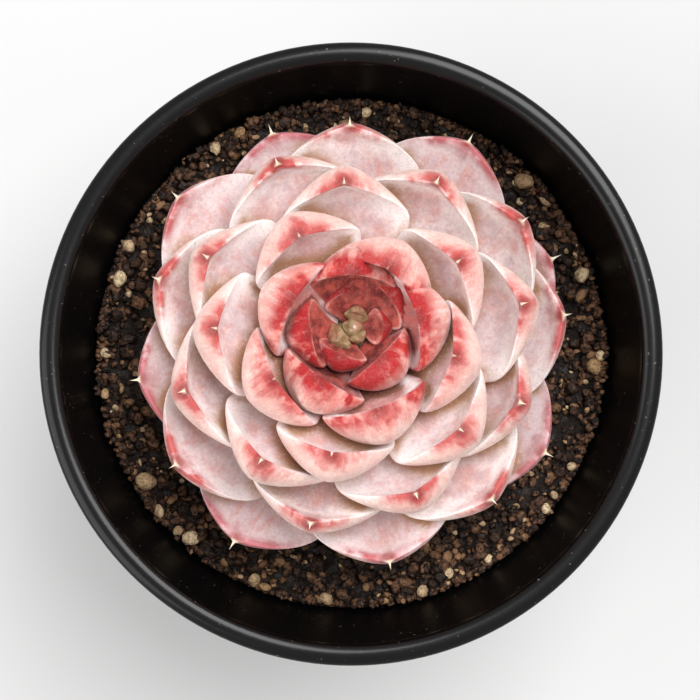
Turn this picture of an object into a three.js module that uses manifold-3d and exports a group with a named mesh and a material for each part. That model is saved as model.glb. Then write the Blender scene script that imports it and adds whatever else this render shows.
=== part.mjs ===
// A red velvet echeveria rosette in a round black plastic pot.
//
// Millimetres, +Z up. The origin is the centre of the pot's underside, and +Y is the side that
// the plant leans to. The plant is built the way it grows: leaves leave a short stem one golden
// angle apart, from the upright ones in the heart to the oldest, spread out over the soil. Leaf
// 1 is the youngest. Each leaf is hollowed where a younger one presses on it, so every leaf
// stays a solid of its own.
import * as THREE from "three";
import { mergeVertices } from "three/addons/utils/BufferGeometryUtils.js";
import Module from "manifold-3d";

const wasm = await Module();
wasm.setup();

const CLEARANCE = 0.3; // between pieces that touch on the real plant

// Pot
const POT_HEIGHT = 85;
const RIM_RADIUS = 55;
const FOOT_RADIUS = 38;
const POT_SIDES = 64;
const RIM_ROLL_WIDTH = 3.7; // the rolled rim's section is an oval
const RIM_ROLL_HEIGHT = 2.3;
const RIM_ROLL_START = -45; // degrees above level, where the outer wall meets the oval
const RIM_ROLL_STEPS = 5;
const UNDER_ROLL = 1.3; // from the oval's lowest point down to the straight outer wall
const INNER_RIM_RADIUS = 51.3; // of the inner wall, just under the rolled rim
const INNER_RIM_LEVEL = 83.2;
const INNER_FOOT_RADIUS = 37.7; // of the inner wall, where it meets the floor
const INNER_FOOT_LEVEL = 4.6;
const FLOOR_UNDERSIDE = 1.2;
const FLOOR_TOP = 2.6;
const FOOT_RING_INNER_RADIUS = 34.5;
const FOOT_BOSS_RADIUS = 9;
const DRAIN_SLOTS = 8;
const DRAIN_SLOT_WIDTH = 3.6;
const DRAIN_SLOT_START = 17;
const DRAIN_SLOT_END = 30;

// Soil
const SOIL_LEVEL = 65;
const SOIL_RING_RADII = [46.4, 44.6, 42.8, 41, 39.2, 37.2, 35, 32, 26, 18, 9];
const CRUMB_HEIGHT = 1.3;
const PEBBLE_HEIGHT = 1.2;
// Pale pebbles lying on the crumbs: x, y and radius.
const PEBBLES = [
  [33.6, 33.5, 1.7], [37.4, 29.7, 1.4], [44.7, 15.3, 1.7], [47, -0.4, 1.2], [47.6, -2.2, 1.8],
  [42.9, -21.8, 1.2], [39.9, -27.7, 1.3], [38, -30.2, 1.2], [27.2, -40.2, 1.2], [18.2, -41.2, 1.4],
  [13.3, -44.4, 1.2], [-4.6, -46.9, 1.4], [-16.4, -45.4, 1.2], [-18.5, -43.7, 1.5],
  [-30.8, -36.4, 1.7], [-32.2, -34.1, 1.2], [-37.1, -31.4, 1.3], [-40.8, -26.4, 2.3],
  [-47.5, -7.5, 1.3], [-46.4, 0.1, 1.3], [-43.1, 14, 1.6], [-42.8, 21.5, 1.4],
  [-25.6, 39.7, 1.4], [-20.9, 42.4, 1.2], [2.7, 45.6, 1.2], [35.9, 24, 1.3],
];

// Plant, measured along the stem's axis from where it leaves the soil
const PLANT_OFFSET = 0.6; // of that place from the pot's axis, towards +Y
const PLANT_LEVEL = 67.4;
const PLANT_LEAN = THREE.MathUtils.degToRad(5);
const LEAVES = 47;
const HEART_LEAVES = 4; // so small and tight that they are one bud
const LEAF_TURN = 137.9; // degrees from one leaf to the next older one
const FIRST_TURN = 23; // degrees from +X to where a leaf before the first would point
const FIRST_STRAYING_LEAF = 5;
const TURN_STRAY = [
  9, -24, -22, -9, 5, -8, -12, -2, -2, -2, -2, -9, 4, 2, -5, 0, -5, 1, 4, 0, 4, 2, 5, 8, -1, -2,
  1, -3, 4, 3, -7, 4, 5, -8, 6, 1, 3, 5, -3, 0, 2, -7, -1,
]; // degrees off the rule, leaf by leaf
const REACH_STRAY = [
  1, 1, 0, 1.5, 0.4, -1, 1.2, -0.5, 1, -0.5, 0.5, -2, -1, 0, -0.5, 0, 0, 0, 0.5, 1, 0, 2.5, 0, 0,
  0.5, -1, -1, 0, -1.5, 1.5, -0.5, 0.5, 1.5, 0, 0, 2, 0.5, 3, -1, 0, 1, 0.5, -1,
]; // millimetres off the rule, leaf by leaf
const WIDEST = 0.62; // share of a leaf's length where it is widest
const FOOT_WIDTH = 0.26; // share of the full width where the leaf leaves the stem
const THORN_BEND = 50; // degrees that the thorn of an upright leaf turns outwards
const FOOT_HANDLE = 0.46; // lengths of the midline's handles, as shares of its chord
const TIP_HANDLE = 0.4;
const GROWN_AGE = 16; // younger leaves are small and have coarser faces
const GROWN_GRID = [12, 8]; // faces round a leaf and along it
const YOUNG_GRID = [8, 7];
const TIP_CROWDING = 1.6; // how much closer the rings stand near the tip
const STEM_LENGTH = 19.6;
const STEM_STRAIGHT = 9; // above this the stem leans further over
const ROOT_DEPTH = 20;
const HEART_DRIFT = new THREE.Vector3(0.4, 2.1, 0); // of the stem's top and the youngest leaves

// A leaf's form at some ages. Tip and foot are heights, reach and stem are distances from the
// stem's axis; start and end are the angles of its midline above level; cup is the radius that
// its upper face is hollowed to, and fold is how steeply the margins rise beside the tip; thorn
// is the length of the point at its end.
const STAGE_FIGURES = [
  "age", "reach", "tip", "stem", "foot", "half", "thick", "start", "end", "cup", "fold", "thorn",
];
const STAGES = [
  [1, 1.3, 22, 0.5, 20, 1.1, 0.9, 70, 90, 3, 0.2, 0.2],
  [5, 4, 24.6, 1.3, 19.6, 3.2, 2, 42, 110, 6, 0.28, 0.3],
  [8, 6, 28, 2.1, 19.2, 5.2, 3, 36, 130, 8.5, 0.36, 0.5],
  [10, 7.6, 31.4, 2.6, 19, 6.8, 4, 32, 130, 11, 0.42, 0.6],
  [14, 11.4, 34.6, 3.4, 18.2, 8.9, 4.9, 27, 126, 16, 0.43, 0.9],
  [20, 20.2, 34, 4.6, 16.4, 10.2, 4.8, 19, 110, 27, 0.4, 1.3],
  [28, 28.8, 28.4, 5.4, 12.6, 12, 4.9, 10, 90, 40, 0.31, 1.7],
  [36, 36.2, 20.5, 6, 8.2, 13.2, 4.8, 4, 60, 55, 0.2, 2],
  [47, 40.4, 11, 6.4, 2.8, 13.6, 4.4, -6, 30, 80, 0.1, 2.2],
].map((row) => Object.fromEntries(row.map((figure, i) => [STAGE_FIGURES[i], figure])));

const { clamp, degToRad, lerp, smoothstep } = THREE.MathUtils;

// Solids

function toSolid(geometry) {
  const bare = geometry.index ? geometry.clone() : mergeVertices(geometry);
  bare.deleteAttribute("normal");
  bare.deleteAttribute("uv");
  const welded = mergeVertices(bare);
  return new wasm.Manifold(
    new wasm.Mesh({
      numProp: 3,
      vertProperties: Float32Array.from(welded.attributes.position.array),
      triVerts: Uint32Array.from(welded.index.array),
    }),
  );
}

function toGeometry(solid) {
  const { vertProperties, triVerts } = solid.getMesh();
  const geometry = new THREE.BufferGeometry();
  geometry.setAttribute("position", new THREE.BufferAttribute(vertProperties, 3));
  geometry.setIndex(new THREE.BufferAttribute(triVerts, 1));
  geometry.computeVertexNormals();
  return geometry;
}

// The largest of the pieces that a cut leaves; the others are loose scraps.
function largestPiece(solid) {
  const pieces = solid.decompose();
  return pieces.reduce((best, piece) => (piece.volume() > best.volume() ? piece : best));
}

// A copy of a closed geometry whose faces have all moved out by the same distance.
function grown(geometry, distance) {
  const bare = geometry.clone();
  bare.deleteAttribute("normal");
  bare.deleteAttribute("uv");
  const result = mergeVertices(bare);
  const position = result.attributes.position;
  const index = result.index.array;
  const facesAt = Array.from({ length: position.count }, () => []);
  for (let i = 0; i < index.length; i += 3) {
    const corners = [0, 1, 2].map((c) => new THREE.Vector3().fromBufferAttribute(position, index[i + c]));
    const normal = new THREE.Triangle(...corners).getNormal(new THREE.Vector3());
    [0, 1, 2].forEach((c) => facesAt[index[i + c]].push(normal));
  }
  facesAt.forEach((normals, vertex) => {
    const mean = normals.reduce((sum, normal) => sum.add(normal), new THREE.Vector3()).normalize();
    const steepest = Math.min(...normals.map((normal) => normal.dot(mean)));
    const point = new THREE.Vector3().fromBufferAttribute(position, vertex);
    point.addScaledVector(mean, distance / Math.max(steepest, 0.5));
    position.setXYZ(vertex, point.x, point.y, point.z);
  });
  return result;
}

function lathe(profile, sides) {
  const points = profile.map(([radius, level]) => new THREE.Vector2(radius, level));
  return new THREE.LatheGeometry(points, sides).rotateX(Math.PI / 2);
}

// Pot

function innerWallRadius(level) {
  const share = (level - INNER_FOOT_LEVEL) / (INNER_RIM_LEVEL - INNER_FOOT_LEVEL);
  return lerp(INNER_FOOT_RADIUS, INNER_RIM_RADIUS, share);
}

// From the outer wall over the rim's top to the inner wall.
function rimRoll() {
  const middleRadius = RIM_RADIUS - RIM_ROLL_WIDTH / 2;
  const middleLevel = POT_HEIGHT - RIM_ROLL_HEIGHT / 2;
  return Array.from({ length: RIM_ROLL_STEPS + 1 }, (_, step) => {
    const turn = degToRad(lerp(RIM_ROLL_START, 180, step / RIM_ROLL_STEPS));
    return [
      middleRadius + (RIM_ROLL_WIDTH / 2) * Math.cos(turn),
      middleLevel + (RIM_ROLL_HEIGHT / 2) * Math.sin(turn),
    ];
  });
}

function makePot() {
  const outside = [
    [0, 0],
    [FOOT_BOSS_RADIUS, 0],
    [FOOT_BOSS_RADIUS + 1, FLOOR_UNDERSIDE],
    [FOOT_RING_INNER_RADIUS - 1, FLOOR_UNDERSIDE],
    [FOOT_RING_INNER_RADIUS, 0],
    [FOOT_RADIUS, 0],
    [FOOT_RADIUS + 1, 0.9],
    [RIM_RADIUS - 2.6, POT_HEIGHT - RIM_ROLL_HEIGHT - UNDER_ROLL],
  ];
  const inside = [
    [INNER_RIM_RADIUS, INNER_RIM_LEVEL],
    [INNER_FOOT_RADIUS, INNER_FOOT_LEVEL],
    [INNER_FOOT_RADIUS - 1.8, FLOOR_TOP],
    [0, FLOOR_TOP],
  ];
  let pot = toSolid(lathe([...outside, ...rimRoll(), ...inside], POT_SIDES));
  const slotLength = DRAIN_SLOT_END - DRAIN_SLOT_START;
  for (let i = 0; i < DRAIN_SLOTS; i += 1) {
    const slot = new THREE.BoxGeometry(slotLength, DRAIN_SLOT_WIDTH, FLOOR_TOP * 2);
    slot.translate(DRAIN_SLOT_START + slotLength / 2, 0, FLOOR_TOP);
    slot.rotateZ(((i + 0.5) / DRAIN_SLOTS) * 2 * Math.PI);
    pot = pot.subtract(toSolid(slot));
  }
  return pot;
}

// Soil

// Heights of the crumbs, which the grid shows larger than life.
function crumbs(x, y) {
  const across = Math.sin(1.31 * x + 2.1 * Math.sin(0.53 * y));
  const along = Math.sin(1.17 * y + 1.7 * Math.sin(0.61 * x));
  const fine = Math.sin(2.9 * x + 4.1 * y) * Math.sin(3.7 * x - 2.3 * y);
  return CRUMB_HEIGHT * (0.3 * across * along + 0.2 * fine);
}

function pebbles(x, y) {
  const domes = PEBBLES.map(([px, py, radius]) => {
    const away = Math.hypot(x - px, y - py) / (radius + 1);
    return away < 1 ? PEBBLE_HEIGHT * Math.sqrt(1 - away * away) : 0;
  });
  return Math.max(0, ...domes);
}

function makeSoil(rootHole) {
  const edge = innerWallRadius(SOIL_LEVEL) - CLEARANCE;
  const floor = FLOOR_TOP + CLEARANCE;
  const body = [
    [0, floor],
    [INNER_FOOT_RADIUS - 1.8 - CLEARANCE, floor],
    [INNER_FOOT_RADIUS - CLEARANCE, INNER_FOOT_LEVEL + CLEARANCE / 2],
    [edge, SOIL_LEVEL],
  ];
  const top = [...SOIL_RING_RADII, 0].map((radius) => [radius, SOIL_LEVEL]);
  const geometry = lathe([...body, ...top], POT_SIDES);
  const position = geometry.attributes.position;
  for (let i = 0; i < position.count; i += 1) {
    const x = position.getX(i);
    const y = position.getY(i);
    const radius = Math.hypot(x, y);
    if (position.getZ(i) > SOIL_LEVEL - 0.01 && radius < edge - 1) {
      position.setZ(i, SOIL_LEVEL + crumbs(x, y) + pebbles(x, y));
    }
  }
  return toSolid(geometry).subtract(rootHole);
}

// Plant

// Every figure of a leaf's form at one age: a smooth curve through the stages.
function formAt(age) {
  const last = STAGES.length - 1;
  const i = clamp(STAGES.findIndex((stage) => stage.age > age) - 1, 0, last - 1);
  const at = age >= STAGES[last].age ? last - 1 : i;
  const span = STAGES[at + 1].age - STAGES[at].age;
  const t = (age - STAGES[at].age) / span;
  const form = {};
  for (const name of Object.keys(STAGES[0])) {
    const slope = (j) => {
      const before = STAGES[Math.max(j - 1, 0)];
      const after = STAGES[Math.min(j + 1, last)];
      return (after[name] - before[name]) / (after.age - before.age);
    };
    form[name] =
      (2 * t ** 3 - 3 * t ** 2 + 1) * STAGES[at][name] +
      (t ** 3 - 2 * t ** 2 + t) * span * slope(at) +
      (3 * t ** 2 - 2 * t ** 3) * STAGES[at + 1][name] +
      (t ** 3 - t ** 2) * span * slope(at + 1);
  }
  return form;
}

function describeLeaf(age) {
  const form = formAt(age);
  const stray = age - FIRST_STRAYING_LEAF;
  const reach = form.reach + (REACH_STRAY[stray] ?? 0);
  const turn = degToRad(FIRST_TURN + LEAF_TURN * age + (TURN_STRAY[stray] ?? 0));
  const foot = new THREE.Vector2(form.stem, form.foot);
  const tip = new THREE.Vector2(reach, form.tip);
  const chord = foot.distanceTo(tip);
  const heading = (degrees) => new THREE.Vector2(Math.cos(degToRad(degrees)), Math.sin(degToRad(degrees)));
  const midline = new THREE.CubicBezierCurve(
    foot,
    foot.clone().addScaledVector(heading(form.start), FOOT_HANDLE * chord),
    tip.clone().addScaledVector(heading(form.end), -TIP_HANDLE * chord),
    tip,
  );
  midline.arcLengthDivisions = 60;
  const blunt = smoothstep(age, 24, 40);
  const bend = degToRad(THORN_BEND) * smoothstep(form.end, 40, 110);
  const drift = 1 - smoothstep(age, 8, 12);
  return { ...form, turn, midline, length: midline.getLength(), blunt, bend, drift };
}

// Half the leaf's width at a share of its length, as a share of its half width.
function outline(share, blunt) {
  if (share < WIDEST) {
    const rise = Math.sin(((share / WIDEST) * Math.PI) / 2) ** 1.35;
    return FOOT_WIDTH + (1 - FOOT_WIDTH) * rise;
  }
  const past = (Math.min(share, 1) - WIDEST) / (1 - WIDEST);
  return (1 - past ** (1.75 + 0.7 * blunt)) ** (1 - 0.28 * blunt);
}

// Thickness at a share of the leaf's length, as a share of its full thickness.
function fatness(share) {
  if (share < 0.55) {
    return 0.5 + 0.5 * Math.sin(((share / 0.55) * Math.PI) / 2);
  }
  const past = (Math.min(share, 1) - 0.55) / 0.45;
  return (1 - past ** 2.6) ** 0.6;
}

// Radius of the thorn at a distance past the end of the blade, which it grows out of.
function thornRadius(leaf, past) {
  const root = -0.6 * leaf.thorn;
  const full = 0.27 * leaf.thorn;
  if (past < root) {
    return full * Math.max(0, 1 + (past - root) / (1.2 * leaf.thorn));
  }
  return full * Math.max(0, 1 - (past - root) / (1.6 * leaf.thorn)) ** 1.3;
}

const joined = (a, b) => Math.cbrt(a ** 3 + b ** 3);

// A point on the leaf's skin in the plant's frame. Share runs along the leaf, past 1 in the
// thorn; around is the angle about the midline, with the upper face from 0 to half a turn.
function skinPoint(leaf, share, around) {
  const onMidline = clamp(share, 0, 1);
  const past = (share - 1) * leaf.length;
  const tangent = leaf.midline.getTangentAt(onMidline);
  if (past > 0) {
    tangent.rotateAround(new THREE.Vector2(), -leaf.bend * Math.min(1, past / (0.4 * leaf.thorn)));
  }
  const centre = leaf.midline.getPointAt(onMidline).addScaledVector(tangent, Math.max(past, 0));
  const side = Math.cos(around);
  const off = Math.abs(side);
  const round = Math.sqrt(Math.max(0, 1 - side * side));
  const thorn = thornRadius(leaf, past);
  const half = joined(leaf.half * outline(onMidline, leaf.blunt), thorn);
  const thick = leaf.thick * fatness(onMidline);
  const lip = 0.3 * thick * (1 - smoothstep(share, 0.45, 0.9));
  const folded = smoothstep(share, 0.5, 0.95);
  let fullness = 2;
  let lift;
  if (Math.sin(around) >= 0) {
    fullness -= 0.7 * folded;
    lift = thorn * round + lip * Math.sqrt(Math.max(0, 1 - off ** 4)) + 0.04 * thick * round * round;
  } else {
    const keel = 1 + (0.1 * Math.max(0, 1 - off * 2.2) * Math.max(0, share - 0.4)) / 0.6;
    const belly = (thick - lip * 0.6) * Math.max(0, 1 - off ** 2.6) ** 0.56 * keel;
    lift = -joined(belly, thorn * round);
  }
  lift += lerp(half ** 2 / (2 * leaf.cup), half * leaf.fold, folded) * off ** fullness;
  const out = centre.x - tangent.y * lift;
  const point = new THREE.Vector3(out, half * side, centre.y + tangent.x * lift);
  point.applyAxisAngle(new THREE.Vector3(0, 0, 1), leaf.turn);
  return point.addScaledVector(HEART_DRIFT, leaf.drift);
}

function leafGeometry(leaf) {
  const geometry = new THREE.SphereGeometry(1, ...(leaf.age < GROWN_AGE ? YOUNG_GRID : GROWN_GRID));
  const { position, uv } = geometry.attributes;
  const end = 1 + leaf.thorn / leaf.length;
  for (let i = 0; i < position.count; i += 1) {
    const v = uv.getY(i);
    const share = end * (1 - (1 - v) ** TIP_CROWDING);
    const atPole = v < 1e-6 || v > 1 - 1e-6;
    const around = atPole ? Math.PI / 2 : (uv.getX(i) - 0.25) * 2 * Math.PI;
    const point = skinPoint(leaf, share, around);
    position.setXYZ(i, point.x, point.y, point.z);
  }
  return geometry;
}

function stemGeometry() {
  const profile = [
    [0, -ROOT_DEPTH],
    [1.6, -ROOT_DEPTH + 0.8],
    [3.4, -ROOT_DEPTH * 0.55],
    [5.2, -4],
    [6, 0],
    [6.3, 4],
    [6, 9],
    [5.2, 13],
    [4.2, 16.5],
    [2.6, STEM_LENGTH - 0.9],
    [0, STEM_LENGTH],
  ];
  const stem = lathe(profile, 16);
  const { position } = stem.attributes;
  for (let i = 0; i < position.count; i += 1) {
    const point = new THREE.Vector3().fromBufferAttribute(position, i);
    point.addScaledVector(HEART_DRIFT, smoothstep(point.z, STEM_STRAIGHT, STEM_LENGTH));
    position.setXYZ(i, point.x, point.y, point.z);
  }
  return stem;
}

// The forms that make the bud: its tiny leaves grow out of one soft dome.
function heartForms() {
  const dome = new THREE.SphereGeometry(1, 8, 6);
  dome.rotateX(Math.PI / 2).scale(1.9, 1.9, 2.2).translate(HEART_DRIFT.x, HEART_DRIFT.y, STEM_LENGTH);
  const forms = [dome];
  for (let age = 1; age <= HEART_LEAVES; age += 1) {
    forms.push(leafGeometry(describeLeaf(age)));
  }
  return forms;
}

const POT_LOOK = { color: 0x0d0e0f, roughness: 0.45, metalness: 0 };
const SOIL_LOOK = { color: 0x2e211b, roughness: 0.95, metalness: 0 };
const STEM_LOOK = { color: 0xa99a76, roughness: 0.8, metalness: 0 };
const HEART_LOOK = { color: 0xb79a80, roughness: 0.5, metalness: 0 };
const YOUNG_LEAF = new THREE.Color(0xc4565a);
const GROWN_LEAF = new THREE.Color(0xe6cfcc);
const OLD_LEAF = new THREE.Color(0xcfaeb6);

function leafLook(age) {
  const color = YOUNG_LEAF.clone()
    .lerp(GROWN_LEAF, smoothstep(age, 8, 20))
    .lerp(OLD_LEAF, smoothstep(age, 34, LEAVES));
  return { color, roughness: 0.6, metalness: 0 };
}

function piece(name, solid, look) {
  const mesh = new THREE.Mesh(toGeometry(solid), new THREE.MeshStandardMaterial(look));
  mesh.name = name;
  return mesh;
}

function makePlant(plant) {
  const stem = stemGeometry();
  const stemRoom = toSolid(grown(stem, CLEARANCE));
  plant.add(piece("stem", toSolid(stem), STEM_LOOK));
  const forms = heartForms();
  const heart = forms.map(toSolid).reduce((whole, form) => whole.add(form));
  plant.add(piece("heart_bud", largestPiece(heart.subtract(stemRoom)), HEART_LOOK));
  const taken = [stemRoom, ...forms.map((form) => toSolid(grown(form, CLEARANCE)))];
  for (let age = HEART_LEAVES + 1; age <= LEAVES; age += 1) {
    const geometry = leafGeometry(describeLeaf(age));
    const whole = toSolid(geometry);
    const cut = taken.reduce((rest, room) => rest.subtract(room), whole);
    const name = `leaf_${String(age).padStart(2, "0")}`;
    plant.add(piece(name, largestPiece(cut), leafLook(age)));
    taken.push(toSolid(grown(geometry, CLEARANCE)));
  }
}

const echeveria = new THREE.Group();

const plant = new THREE.Group();
plant.position.set(0, PLANT_OFFSET, PLANT_LEVEL);
plant.rotation.x = -PLANT_LEAN;
plant.updateMatrix();
makePlant(plant);

const rootHole = toSolid(grown(stemGeometry(), CLEARANCE).applyMatrix4(plant.matrix));
echeveria.add(piece("pot", makePot(), POT_LOOK));
echeveria.add(piece("soil", makeSoil(rootHole), SOIL_LOOK));
echeveria.add(plant);

export default echeveria;
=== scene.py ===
# %% [markdown]
# # A potted echeveria
#
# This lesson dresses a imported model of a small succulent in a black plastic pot. The model's
# solids are plain and faceted. Here every leaf, the soil and the pot get a finer mesh of the
# same form, and a finish built from shader nodes. The frame is loaded first, because every
# piece goes where the frame says. All lengths below are in millimetres until a mesh is made.

# %% The frame
import math
import random
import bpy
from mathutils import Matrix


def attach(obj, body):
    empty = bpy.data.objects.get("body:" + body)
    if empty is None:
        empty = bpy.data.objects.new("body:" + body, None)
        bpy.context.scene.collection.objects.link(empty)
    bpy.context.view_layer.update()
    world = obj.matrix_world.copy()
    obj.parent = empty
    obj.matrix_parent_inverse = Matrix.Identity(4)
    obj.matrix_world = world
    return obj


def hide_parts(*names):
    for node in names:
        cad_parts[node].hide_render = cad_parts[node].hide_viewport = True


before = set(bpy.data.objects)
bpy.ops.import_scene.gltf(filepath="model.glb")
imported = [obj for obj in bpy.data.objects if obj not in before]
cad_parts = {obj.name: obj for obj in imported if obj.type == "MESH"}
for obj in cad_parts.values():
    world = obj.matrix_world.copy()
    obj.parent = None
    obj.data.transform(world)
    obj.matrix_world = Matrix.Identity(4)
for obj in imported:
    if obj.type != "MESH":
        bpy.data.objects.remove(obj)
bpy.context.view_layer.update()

from types import SimpleNamespace

import bmesh
import bpy
import numpy as np
from mathutils import Matrix, Vector, noise
from mathutils.bvhtree import BVHTree

MM = 0.001
print("nodes in the frame:", len(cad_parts))

# %% [markdown]
# ## The camera
#
# The photograph looks straight down on the pot from a hand's height. A camera that near sees
# the inner wall of the pot as a broad dark ring, so its distance matters more than its lens.
# The lens follows from how much of the picture's width the rim fills.

# %% Camera
RIM_RADIUS = 55
POT_HEIGHT = 85
CAMERA_ABOVE_RIM = 300
CAMERA_OFFSET = (-0.18, 0.72)  # from the pot's axis, so that the rim lies where the photograph has it
NEAREST_SEEN = 10  # from the camera
PIXELS = 700
RIM_PIXELS = 313  # from the rim's centre to its edge in the photograph
SENSOR = 36


def in_scene(name, data):
    """An object with this data, linked to the scene."""
    made = bpy.data.objects.new(name, data)
    bpy.context.scene.collection.objects.link(made)
    return made


def add_camera():
    data = bpy.data.cameras.new("overhead")
    camera = in_scene("overhead", data)
    seen_width = PIXELS * RIM_RADIUS / RIM_PIXELS
    data.sensor_width = SENSOR
    data.lens = SENSOR * CAMERA_ABOVE_RIM / seen_width
    data.clip_start = NEAREST_SEEN * MM
    camera.location = [distance * MM for distance in (*CAMERA_OFFSET, POT_HEIGHT + CAMERA_ABOVE_RIM)]
    bpy.context.scene.camera = camera
    return data.lens


print("lens in millimetres:", round(add_camera(), 1))

# %% [markdown]
# ## Light
#
# The picture is bright and soft: a wide window above and to the right, and pale surroundings
# that fill the shadows. One large area light does for the window, a second weak one keeps the
# far side from going flat, and a nearly white world does for the room.

# %% Lights
LAMPS = [
    # name, place, aim, watts and width, with the lengths in metres
    ("window", (0.23, 0.3, 0.81), (0, 0, 0.09), 6.9, 0.5),
    ("bounce", (-0.5, -0.2, 0.5), (0, 0, 0.08), 2.8, 0.6),
]
ROOM_COLOUR = (1.0, 0.985, 0.97, 1)
ROOM_STRENGTH = 0.62


def add_lamp(name, place, aim, power, size):
    data = bpy.data.lights.new(name, "AREA")
    data.energy = power
    data.size = size
    lamp = in_scene(name, data)
    lamp.location = place
    lamp.rotation_euler = (Vector(aim) - Vector(place)).to_track_quat("-Z", "Y").to_euler()


def add_room():
    world = bpy.data.worlds.new("pale room")
    world.use_nodes = True
    background = world.node_tree.nodes["Background"]
    background.inputs["Color"].default_value = ROOM_COLOUR
    background.inputs["Strength"].default_value = ROOM_STRENGTH
    bpy.context.scene.world = world


add_room()
for lamp in LAMPS:
    add_lamp(*lamp)
bpy.context.scene.view_settings.view_transform = "Standard"
print("lamps:", len(bpy.data.lights))

# %% [markdown]
# ## Writing shaders as sums
#
# A finish is a small piece of arithmetic on distances and noise. Wiring Math nodes by hand
# hides that, so a socket is wrapped in a class whose plus, minus and times signs add the Math
# nodes. Colours go through Mix nodes, and every other node comes from one method, add.


# %% Sockets that can be reckoned with
class Amount:
    """A number that varies over a surface."""

    def __init__(self, finish, socket):
        self.finish = finish
        self.socket = socket

    def math(self, operation, other=None, swapped=False):
        pair = (other, self) if swapped else (self, other)
        values = {i: value for i, value in enumerate(pair) if value is not None}
        return self.finish.add("ShaderNodeMath", {"operation": operation}, values)

    def __add__(self, other):
        return self.math("ADD", other)

    __radd__ = __add__

    def __mul__(self, other):
        return self.math("MULTIPLY", other)

    __rmul__ = __mul__

    def __sub__(self, other):
        return self.math("SUBTRACT", other)

    def __rsub__(self, other):
        return self.math("SUBTRACT", other, swapped=True)

    def __truediv__(self, other):
        return self.math("DIVIDE", other)

    def __abs__(self):
        return self.math("ABSOLUTE")

    def at_least(self, other):
        return self.math("MAXIMUM", other)

    def at_most(self, other):
        return self.math("MINIMUM", other)


class Finish:
    """A material in the making."""

    def __init__(self, name, **uniform):
        self.material = bpy.data.materials.new(name)
        self.material.use_nodes = True
        self.tree = self.material.node_tree
        self.shader = self.tree.nodes["Principled BSDF"]
        for socket, value in uniform.items():
            self.shader.inputs[socket.replace("_", " ")].default_value = value

    def add(self, kind, settings=None, values=None, output=0):
        """A new node, its settings made first, then the values or links of its sockets."""
        node = self.tree.nodes.new(kind)
        for name, setting in (settings or {}).items():
            setattr(node, name, setting)
        for name, value in (values or {}).items():
            if isinstance(value, Amount):
                self.tree.links.new(value.socket, node.inputs[name])
            else:
                node.inputs[name].default_value = value
        return Amount(self, node.outputs[output])

    def attribute(self, name):
        return self.add("ShaderNodeAttribute", {"attribute_name": name}, output="Fac")

    def place(self):
        return self.add("ShaderNodeTexCoord", output="Object")

    def vector(self, **parts):
        return self.add("ShaderNodeCombineXYZ", None, parts)

    def noise(self, scale, detail=2.0, vector=None, roughness=0.5):
        where = vector or self.place()
        values = {"Vector": where, "Scale": scale, "Detail": detail, "Roughness": roughness}
        return self.add("ShaderNodeTexNoise", None, values, output="Fac")

    def step(self, amount, start, end):
        """0 where the amount is at start, 1 where it is at end, smooth between."""
        settings = {"interpolation_type": "SMOOTHSTEP"}
        values = {"Value": amount, "From Min": start, "From Max": end}
        if start > end:
            values.update({"From Min": end, "From Max": start, "To Min": 1.0, "To Max": 0.0})
        return self.add("ShaderNodeMapRange", settings, values)

    def mix(self, factor, first, second):
        """The first colour where the factor is 0, the second where it is 1."""
        values = {0: factor, 6: first, 7: second}
        return self.add("ShaderNodeMix", {"data_type": "RGBA"}, values, output=2)

    def coated(self, skin, *coats):
        """The skin under coats of other colours, each given as a factor and a colour."""
        for factor, colour in coats:
            skin = self.mix(factor, skin, colour)
        return skin

    def bump(self, height, distance_mm, strength=1.0):
        values = {"Height": height, "Distance": distance_mm * MM, "Strength": strength}
        return self.add("ShaderNodeBump", None, values)

    def feed(self, **links):
        for socket, amount in links.items():
            self.tree.links.new(amount.socket, self.shader.inputs[socket.replace("_", " ")])
        return self.material


def linear(value):
    """One channel of a screen colour, 0 to 255, as linear light."""
    share = value / 255
    return ((share + 0.055) / 1.055) ** 2.4 if value > 10 else share / 12.92


def paint(red, green, blue):
    """A given colour, as the shader takes it."""
    return (linear(red), linear(green), linear(blue), 1.0)


print("powdery pink in linear light:", [round(c, 2) for c in paint(236, 222, 221)])

# %% [markdown]
# ## Finished pieces
#
# A piece is made as a bmesh, shaded smooth, given its material, and tied to the part: it rides
# on the body and stands for a node of the frame.


# %% From bmesh to piece
def to_mesh(name, bm):
    """A mesh of the bmesh, which isn't needed any more."""
    mesh = bpy.data.meshes.new(name)
    bm.to_mesh(mesh)
    bm.free()
    return mesh


def finished(name, bm, material, slot, *stands_for, recalculate=True):
    """A smooth piece with its material, which rides on the part and stands for these nodes."""
    if recalculate:
        bmesh.ops.recalc_face_normals(bm, faces=bm.faces)
    for face in bm.faces:
        face.smooth = True
    piece = in_scene(name, to_mesh(name, bm))
    piece.data.materials.append(material)
    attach(piece, "root")
    if stands_for:
        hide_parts(*stands_for)
    return piece


# %% [markdown]
# ## How a leaf grows
#
# An echeveria makes its leaves one by one at the tip of the stem, each about 137.9 degrees
# round from the last, and pushes the older ones outwards and down. So one rule with an age in
# it makes the whole rosette: a few stages say how long, wide, thick and curved a leaf is at
# some ages, and a smooth curve runs through them. A real plant strays from its rule, and the
# two lists of strays, read off the photograph, put every leaf where this plant has it.

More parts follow.
